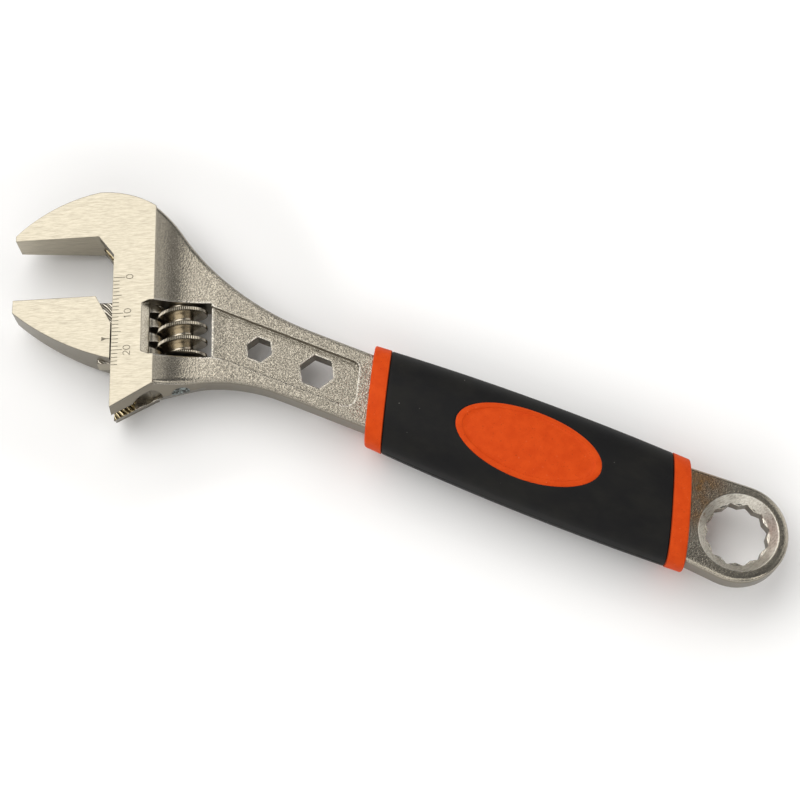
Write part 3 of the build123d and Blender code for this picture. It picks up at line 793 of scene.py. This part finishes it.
# %% [markdown]
# ## Adjusting worm: the shape
# The worm is turned from bar: a single-start ridge with a thin knurled rim and round-bottomed grooves,
# so that a thumb can roll it. As the solid has no knurl, a finer surface stands for it. Its outside is a
# height over a cylinder: at each angle the ridge's profile repeats along the axis, shifted by the lead.
# A Screw modifier could carry the profile too, but grid lines that follow the ridge also take the knurl
# and keep the rims sharp.

# %% Worm sizes and profile
WORM_X = 17.2
WORM_BOTTOM = -20.75
WORM_LENGTH = 14.0
WORM_LEAD = 4.0
RIDGE_AT_RACK = 6.8
RIM_RADIUS = 6.55
RIM_HALF = 0.46
FLANK = ((0.51, 6.38), (0.62, 5.65), (0.725, 4.95))
HOLLOW_MIDDLE = (2.62, 5.0)
HOLLOW_RADIUS = 1.9
HOLLOW_TURN = (188, 236)
HOLLOW_POINTS = 8
CORE_RADIUS = 3.3
CORE_START = 1.78


def groove_side():
    """From the rim's middle to the groove's middle: rim, rounded edge, steep flank, round hollow and
    core. Gives the distance along the axis and the radius of each point."""
    rim = [(0.0, RIM_RADIUS), (0.24, RIM_RADIUS), (0.40, RIM_RADIUS - 0.01), (RIM_HALF, RIM_RADIUS - 0.06)]
    turn = np.radians(np.linspace(*HOLLOW_TURN, HOLLOW_POINTS + 1)[1:])
    hollow = HOLLOW_MIDDLE + HOLLOW_RADIUS * np.stack([np.cos(turn), np.sin(turn)], -1)
    core = [(CORE_START, CORE_RADIUS), (WORM_LEAD / 2, CORE_RADIUS)]
    shape = np.concatenate([rim, FLANK, hollow, core])
    shape[:, 1] = np.maximum(shape[:, 1], CORE_RADIUS)
    return shape[np.argsort(shape[:, 0], kind="stable")].T


print("points from a rim's middle to the groove's:", groove_side().shape[1])

# %% [markdown]
# ## Adjusting worm: the surface
# The grid has a row for each angle, a few to each tooth of the knurl, and a column for each point of the
# ridges, which climb by the lead in one turn, so the last row meets the first one ridge further up.
# Points past the two end faces are drawn back onto them, at the radius that the groove has there, and
# the bore with its spring pocket closes the shape. Cutting the ends with a Boolean would leave ragged
# edges.

# %% Worm surface
BORE_RADIUS = 1.56
POCKET_RADIUS = 2.3
POCKET_DEPTH = 3.2
KNURL_TEETH = 80
KNURL_DEPTH = 0.22
SAMPLES_PER_TOOTH = 6
RIDGES_BELOW = 3
RIDGES_ABOVE = 2
BORE = (
    (BORE_RADIUS, WORM_LENGTH),
    (BORE_RADIUS, POCKET_DEPTH),
    (POCKET_RADIUS, POCKET_DEPTH),
    (POCKET_RADIUS, 0.0),
)


def worm_surface():
    """Radius and height over angle and point: the profile mirrored about each ridge, less a cosine
    for the knurl on the rim, with the ends clipped and the bore added."""
    distance, radius = groove_side()
    offset = np.concatenate([-distance[:0:-1], distance[:-1]])
    height = np.concatenate([radius[:0:-1], radius[:-1]])
    turn = np.linspace(0, 2 * np.pi, KNURL_TEETH * SAMPLES_PER_TOOTH + 1)
    ridges = np.arange(-RIDGES_BELOW, int(WORM_LENGTH / WORM_LEAD) + RIDGES_ABOVE)
    middle = RIDGE_AT_RACK + WORM_LEAD * (turn[:, None] / (2 * np.pi) + ridges[None, :])
    along = (middle[..., None] + offset).reshape(len(turn), -1)
    knurl = KNURL_DEPTH * (0.5 + 0.5 * np.cos(KNURL_TEETH * turn))[:, None]
    knurled = height - knurl * (np.abs(offset) <= RIM_HALF)
    out = np.tile(knurled, len(ridges))
    for end, beyond in ((0.0, along < 0.0), (WORM_LENGTH, along > WORM_LENGTH)):
        phase = np.abs((end - middle[:, :1] + WORM_LEAD / 2) % WORM_LEAD - WORM_LEAD / 2)
        out = np.where(beyond, np.interp(phase, distance, radius), out)
        along = np.where(beyond, end, along)
    inner = np.broadcast_to(BORE, (len(turn), len(BORE), 2))
    out = np.concatenate([out, inner[..., 0]], 1)
    along = np.concatenate([along, inner[..., 1]], 1)
    turn = turn[:, None]
    points = on_head(WORM_X - out * np.cos(turn), WORM_BOTTOM + along, out * np.sin(turn))
    return points, grid_faces(*out.shape, wrap_columns=True)


worm_shape = worm_surface()
print("grid of the worm:", worm_shape[0].shape[:2])

# %% [markdown]
# ## Adjusting worm: the finish
# Turned steel is smoother than the forging and shows fine rings round the worm's axis. The rims are
# lighter, rubbed bright by a thumb, and the grooves carry a painted shade, with a little random grime; the
# valleys of the knurl are painted nearly black as shade. The distance from the axis tells these apart, so
# no part of the mesh has to be marked by hand.

# %% Worm and its finish
# Rims rubbed lighter and painted shade in the grooves, by the distance from the axis.
WEAR_AND_SHADE_RADII = (4.2, 6.4)
KNURL_VALLEY = ((RIM_RADIUS - 0.30, RIM_RADIUS - 0.22), (RIM_RADIUS - 0.02, RIM_RADIUS - 0.14))
TURNED_TINTS = ((0.46, 0.41, 0.325), (0.56, 0.515, 0.43))
# Painted shade in the valleys of the knurl.
KNURL_VALLEY_SHADE = (0.10, 0.085, 0.06)
RINGS_SCALE = (0.4, 9.0, 0.4)
WORM_CREASE = 32.0

turned_steel, flow = finish("turned_steel")
spot = flow.place(HEAD_ZERO + WORM_X * HEAD_X, HEAD_ANGLE)
from_axis = spot.axis("X").hypot(spot.axis("Z"))
grime = flow.head(0.7).noise(3.0, 0.6)
# Rims rubbed lighter, grooves darker with painted shade, and a little random grime.
wear_and_painted_light = from_axis.step(*WEAR_AND_SHADE_RADII) * 0.75 + grime.step(0.35, 0.7) * 0.25
surface(
    flow,
    {
        # The valleys of the knurl are painted nearly black as shade.
        "Base Color": from_axis.within(*KNURL_VALLEY).mix(wear_and_painted_light.mix(*TURNED_TINTS), KNURL_VALLEY_SHADE),
        "Metallic": 1.0,
        "Roughness": 0.22 - wear_and_painted_light * 0.02 + grime * 0.06,
        "Normal": flow.bump(flow.head(RINGS_SCALE).noise(2.0) * 0.01),
    },
)
worm = make_piece("adjusting_worm_knurled", *worm_shape, "worm", "turned_steel", turned_steel, WORM_CREASE)
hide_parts("adjusting_worm")
paint(nodes["adjusting_worm"], turned_steel)

# %% [markdown]
# ## Two-shot grip: the section
# The grip is moulded twice: first an orange core, whose end bands and ovals stay in sight, and then the
# black rubber round it. Its section has crowned sides with round corners, and it swells from the ends to
# the belly. A distance formula describes that section, and rays from the axis find its skin. Lofted
# curves would do as well, but the formula also tells how high the skin is under the oval.

# %% Section of the grip
STATION_X = (63.8, 120.0, 166.0)
STATION_WIDTH = (24.2, 28.6, 26.6)
STATION_THICKNESS = (16.0, 18.6, 16.6)
CROWN = 1.5
SIDE_BULGE = 2.2
GRIP_CORNER = 4.0
FARTHEST = 25.0
HALVINGS = 40
width_at = np.polynomial.Polynomial.fit(STATION_X, STATION_WIDTH, 2)
thickness_at = np.polynomial.Polynomial.fit(STATION_X, STATION_THICKNESS, 2)


def outside(x, y, z, inset):
    """Distance outside the grip's section at x: the larger of the distances to the crown's circle and
    to the side's circle, with their corner rounded. Width and thickness are parabolas through three
    stations."""
    half = width_at(x) / 2 - inset
    rise = thickness_at(x) / 2 - inset
    crown_radius = ((half - SIDE_BULGE) ** 2 + CROWN**2) / (2 * CROWN)
    side_radius = ((rise - CROWN) ** 2 + SIDE_BULGE**2) / (2 * SIDE_BULGE)
    over = np.hypot(y, np.abs(z) + crown_radius - rise) - crown_radius + GRIP_CORNER
    beside = np.hypot(np.abs(y) + side_radius - half, z) - side_radius + GRIP_CORNER
    corner = np.hypot(np.maximum(over, 0), np.maximum(beside, 0))
    return np.minimum(np.maximum(over, beside), 0) + corner - GRIP_CORNER


def reach(test, shape):
    """The length at which a growing test turns positive, on every ray at once, by halving the range."""
    near, far = np.zeros(shape), np.full(shape, FARTHEST)
    for _ in range(HALVINGS):
        middle = (near + far) / 2
        out = test(middle) > 0
        near, far = np.where(out, near, middle), np.where(out, middle, far)
    return far


belly = STATION_X[1]
print("belly of the grip, mm:", round(width_at(belly), 2), "wide,", round(thickness_at(belly), 2), "thick")

# %% [markdown]
# ## Two-shot grip: rings
# Both shots end in slanted faces with rounded edges. Rows of rings, each at a place along the handle,
# make every skin of the grip: a row can be inset from the skin, as on a rounded edge or an inner wall,
# or be drawn in to the axis to close an end. Rings that are square to the handle would need a cut for
# the slant.

# %% Rings of the grip
GRIP_SLANT = math.tan(math.radians(16.0))
RING_POINTS = 360
ROUND_ROWS = 6


def grip_rings(rows):
    """Rings round the handle that slant like the grip's ends, from rows of place, inset and share of
    the radius. A ring's point lies on a ray from the axis, as far out as the section reaches."""
    place, inset, share = (np.array(column)[:, None] for column in zip(*rows))
    turn = np.linspace(0, 2 * np.pi, RING_POINTS, endpoint=False)[None, :]

    def ray(length):
        """The point at a length along each ray, moved along the handle by the slant."""
        y = length * np.cos(turn)
        return place - y * GRIP_SLANT, y, length * np.sin(turn)

    length = reach(lambda far: outside(*ray(far), inset), (len(rows), RING_POINTS)) * share
    return AXIS + np.stack(np.broadcast_arrays(*ray(length)), -1)


def rounding(place, into, inset, radius):
    """Rows of a quarter-round edge, from the end face at a place to the skin; into is 1 or -1 along
    the handle."""
    turn = np.linspace(0, np.pi / 2, ROUND_ROWS)
    return [(place + into * radius * (1 - np.cos(t)), inset + radius * (1 - np.sin(t)), 1.0) for t in turn]


print("slant of the grip's ends, mm over its belly:", round(GRIP_SLANT * width_at(belly), 2))

# %% [markdown]
# ## Two-shot grip: finishes
# Both plastics are matt. The orange is dyed through and only a little uneven, with a painted shade along
# the seams and dark specks of dirt in its grain.
# The black rubber catches dust, as pale grains here and there, and has a fine moulded grain. Dust could
# be scattered as small meshes, but noise and a Voronoi pattern give it at no cost.

# %% Finishes of the grip
GRIP_FRONT = 72.5
GRIP_REAR = 157.3
BAND_WIDTH = 4.6
# A narrow painted shade along the seams between the bands and the cover.
SEAM_SHADE = (0.35, 0.05)
ORANGE_TINTS = ((0.64, 0.061, 0.007), (0.72, 0.080, 0.010))
ORANGE_DIRT_AND_SHADE = (0.16, 0.025, 0.008)
ORANGE_PALE = (0.80, 0.30, 0.16)
BLACK_TINTS = ((0.0075, 0.0075, 0.008), (0.014, 0.0135, 0.012))
DUST_TINT = (0.30, 0.29, 0.26)

orange_plastic, flow = finish("orange_plastic")
spot = flow.handle()
along = spot.axis("X") + spot.axis("Y") * GRIP_SLANT
front_seam, rear_seam = (
    abs(along - seam).step(*SEAM_SHADE) for seam in (GRIP_FRONT + BAND_WIDTH, GRIP_REAR - BAND_WIDTH)
)
cloud = flow.handle(0.35).noise(4.0, 0.6)
grain = flow.handle(3.0).noise(2.0, 0.5)
pale = flow.handle(1.1).noise(3.0, 0.55).step(0.70, 0.76)
dyed = cloud.step(0.25, 0.75).mix(*ORANGE_TINTS)
# Painted shade along the seams, and dark specks of dirt where the grain is low.
dirt_and_seam_shade = (front_seam + rear_seam) * 0.6 + (1 - grain.step(0.27, 0.33)) * 0.5
surface(
    flow,
    {
        "Base Color": (pale * 0.35).mix(dirt_and_seam_shade.mix(dyed, ORANGE_DIRT_AND_SHADE), ORANGE_PALE),
        "Roughness": 0.42 + cloud * 0.16,
        "Specular IOR Level": 0.05,
        "Normal": flow.bump(grain * 0.012 + cloud * 0.02),
    },
)

black_rubber, flow = finish("black_rubber")
cloud = flow.handle((0.08, 0.12, 0.12)).noise(4.0, 0.6)
grain = flow.handle(4.0).noise(2.0, 0.5)
specks = flow.node("ShaderNodeTexVoronoi", {}, {"Vector": flow.handle(0.30), "Scale": 1.0}, "Distance")
dust = specks.step(0.05, 0.02) * cloud.step(0.42, 0.60)
surface(
    flow,
    {
        "Base Color": (dust * 0.5).mix(cloud.step(0.35, 0.75).mix(*BLACK_TINTS), DUST_TINT),
        "Roughness": 0.50 + cloud * 0.14,
        "Specular IOR Level": 0.14,
        "Normal": flow.bump(grain * 0.018),
    },
)
print("grip finishes:", orange_plastic.name, "and", black_rubber.name)

# %% [markdown]
# ## Two-shot grip: the rubber cover
# The cover is a sleeve between the two bands. Its ends are rounded, which leaves the fine groove that
# marks the seam, and a thread of flash shows where the mould closed. The oval of the core passes through
# it on both faces. A hole could be cut for each, but it is simpler to sink the skin a little under the
# oval, where nobody sees it.

# %% Rubber cover
SEAM_GAP = 0.06
COVER_INSET = 0.16
COVER_WALL = 1.8
COVER_EDGE = 0.35
COVER_ROWS = 120
FLASH = 0.11
OVAL_X = (GRIP_FRONT + GRIP_REAR) / 2
OVAL_LENGTH = 38.2
OVAL_WIDTH = 18.0
OVAL_DIP = 0.6
DIP_EDGE = 0.99
DIP_SLOPE = 0.04
GRIP_CREASE = 50.0

cover_front = GRIP_FRONT + BAND_WIDTH + SEAM_GAP
cover_rear = GRIP_REAR - BAND_WIDTH - SEAM_GAP
middle_rows = np.linspace(cover_front + COVER_EDGE, cover_rear - COVER_EDGE, COVER_ROWS)[1:-1]
cover_rows = rounding(cover_front, 1, COVER_INSET, COVER_EDGE)
cover_rows += [(place, COVER_INSET, 1.0) for place in middle_rows]
cover_rows += rounding(cover_rear, -1, COVER_INSET, COVER_EDGE)[::-1]
cover_rows += [(cover_rear, COVER_WALL, 1.0), (cover_front, COVER_WALL, 1.0)]
cover_points = grip_rings(cover_rows)
from_handle = cover_points - AXIS
from_oval = np.hypot(
    (from_handle[..., 0] - OVAL_X) / (OVAL_LENGTH / 2),
    from_handle[..., 1] / (OVAL_WIDTH / 2),
)
under_oval = np.clip((DIP_EDGE - from_oval) / DIP_SLOPE, 0, 1) * OVAL_DIP
cover_points[..., 2] -= under_oval * np.sign(from_handle[..., 2])
skin = slice(ROUND_ROWS, ROUND_ROWS + len(middle_rows))
cover_points[skin, 0, 1] += FLASH
cover_points[skin, RING_POINTS // 2, 1] -= FLASH
cover_faces = grid_faces(len(cover_rows), RING_POINTS, wrap_rows=True, wrap_columns=True)
cover_shape = (cover_points, cover_faces)
cover = make_piece("grip_cover_moulded", *cover_shape, "frame", "black_rubber", black_rubber, GRIP_CREASE)
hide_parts("grip_cover")
paint(nodes["grip_cover"], black_rubber)

# %% [markdown]
# ## Two-shot grip: the core
# Of the core only the bands and the ovals show. A band is a closed ring of rows that ends in the tang.
# An oval is a plaque on the skin: a sunk bare field, a step up to its border, a rounded rim and a wall
# down into the rubber. A bump could hint at the border, but real steps catch the light from every side.

# %% Orange core
CORE_INSET = 0.03
BAND_END_EDGE = 0.5
BAND_SEAM_EDGE = 0.2
FIELD_MARGIN = 1.55
FIELD_DEPTH = 0.30
FIELD_ROWS = 14
BORDER_STEPS = ((0.10, 0.75), (0.20, 0.2), (0.30, 0.0), (0.70, 0.0))
OVAL_RIM = 0.35
OVAL_WALL = 1.5
END_MARGIN = 1.3
OVAL_POINTS = 240


def band(end, into):
    """A closed band from the grip's end face inwards: cap, rounded end, skin, rounded seam, cap."""
    seam_place = end + into * BAND_WIDTH
    rows = [(end, CORE_INSET, 0.0)] + rounding(end, into, CORE_INSET, BAND_END_EDGE)
    rows += rounding(seam_place, -into, CORE_INSET, BAND_SEAM_EDGE)[::-1] + [(seam_place, CORE_INSET, 0.0)]
    return grip_rings(rows), grid_faces(len(rows), RING_POINTS, wrap_columns=True)


def plaque(side):
    """An oval on the upper or lower skin, from rows of margin to the rim, share of that ellipse, and
    drop. Each row is an ellipse, laid on the skin and lowered by the drop."""
    field = [(FIELD_MARGIN, share, FIELD_DEPTH) for share in np.linspace(0, 1, FIELD_ROWS)]
    border = [(FIELD_MARGIN - out, 1, FIELD_DEPTH * depth) for out, depth in BORDER_STEPS]
    quarter = np.linspace(0, np.pi / 2, ROUND_ROWS)
    rim = [(OVAL_RIM * (1 - np.sin(t)), 1, OVAL_RIM * (1 - np.cos(t))) for t in quarter]
    wall = [(0.0, 1, OVAL_WALL), (0.0, 0, OVAL_WALL)]
    margin, share, drop = (np.array(column)[:, None] for column in zip(*field, *border, *rim, *wall))
    turn = np.linspace(0, 2 * np.pi, OVAL_POINTS, endpoint=False)[None, :]
    x = OVAL_X + share * (OVAL_LENGTH / 2 - END_MARGIN * margin) * np.cos(turn)
    y = share * (OVAL_WIDTH / 2 - margin) * np.sin(turn)
    z = reach(lambda far: outside(x, y, far, CORE_INSET), x.shape) - drop
    return AXIS + np.stack([x, y, side * z], -1), grid_faces(len(margin), OVAL_POINTS, wrap_columns=True)


core_shape = join(band(GRIP_FRONT, 1), band(GRIP_REAR, -1), plaque(1), plaque(-1))
core = make_piece("grip_core_moulded", *core_shape, "frame", "orange_plastic", orange_plastic, GRIP_CREASE)
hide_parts("grip_core")
paint(nodes["grip_core"], orange_plastic)
